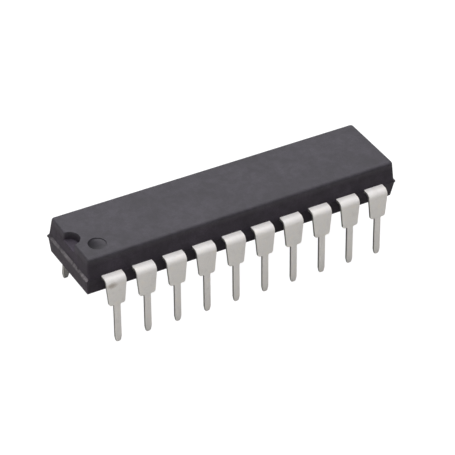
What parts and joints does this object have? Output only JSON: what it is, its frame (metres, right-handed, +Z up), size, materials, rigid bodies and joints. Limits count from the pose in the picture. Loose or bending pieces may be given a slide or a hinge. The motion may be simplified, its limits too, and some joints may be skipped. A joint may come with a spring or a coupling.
{
  "type": "dual in-line integrated circuit",
  "caption": "Moulded dual in-line chip package with a notch and round mark at one end, two rows of bent tinned leads, and its lead frame, die and bond wires inside.",
  "frame": {"origin": "centre of the rectangle around the 20 lead tips, on the plane that the tips stand on", "axes": "+Z up through the body; +X along the body, with the notch and lead 1 at -X; leads 1 to 10 on the -Y side"},
  "size_m": [0.027, 0.0088, 0.0073],
  "materials": {
    "mould_compound": "matt spark-eroded mould texture",
    "tinned_lead": "satin matt tin plating",
    "silvered_frame": "silver-plated strip",
    "silver_epoxy": "silver-filled adhesive",
    "silicon": "polished die face",
    "gold_wire": "drawn gold"
  },
  "bodies": {
    "root": {"package_body": "mould_compound", "die_paddle": "silvered_frame", "die_attach": "silver_epoxy", "silicon_die": "silicon", "lead_01": "tinned_lead", "lead_02": "tinned_lead", "lead_03": "tinned_lead", "lead_04": "tinned_lead", "lead_05": "tinned_lead", "lead_06": "tinned_lead", "lead_07": "tinned_lead", "lead_08": "tinned_lead", "lead_09": "tinned_lead", "lead_10": "tinned_lead", "lead_11": "tinned_lead", "lead_12": "tinned_lead", "lead_13": "tinned_lead", "lead_14": "tinned_lead", "lead_15": "tinned_lead", "lead_16": "tinned_lead", "lead_17": "tinned_lead", "lead_18": "tinned_lead", "lead_19": "tinned_lead", "lead_20": "tinned_lead", "bond_wire_01": "gold_wire", "bond_wire_02": "gold_wire", "bond_wire_03": "gold_wire", "bond_wire_04": "gold_wire", "bond_wire_05": "gold_wire", "bond_wire_06": "gold_wire", "bond_wire_07": "gold_wire", "bond_wire_08": "gold_wire", "bond_wire_09": "gold_wire", "bond_wire_10": "gold_wire", "bond_wire_11": "gold_wire", "bond_wire_12": "gold_wire", "bond_wire_13": "gold_wire", "bond_wire_14": "gold_wire", "bond_wire_15": "gold_wire", "bond_wire_16": "gold_wire", "bond_wire_17": "gold_wire", "bond_wire_18": "gold_wire", "bond_wire_19": "gold_wire", "bond_wire_20": "gold_wire"}
  },
  "joints": []
}
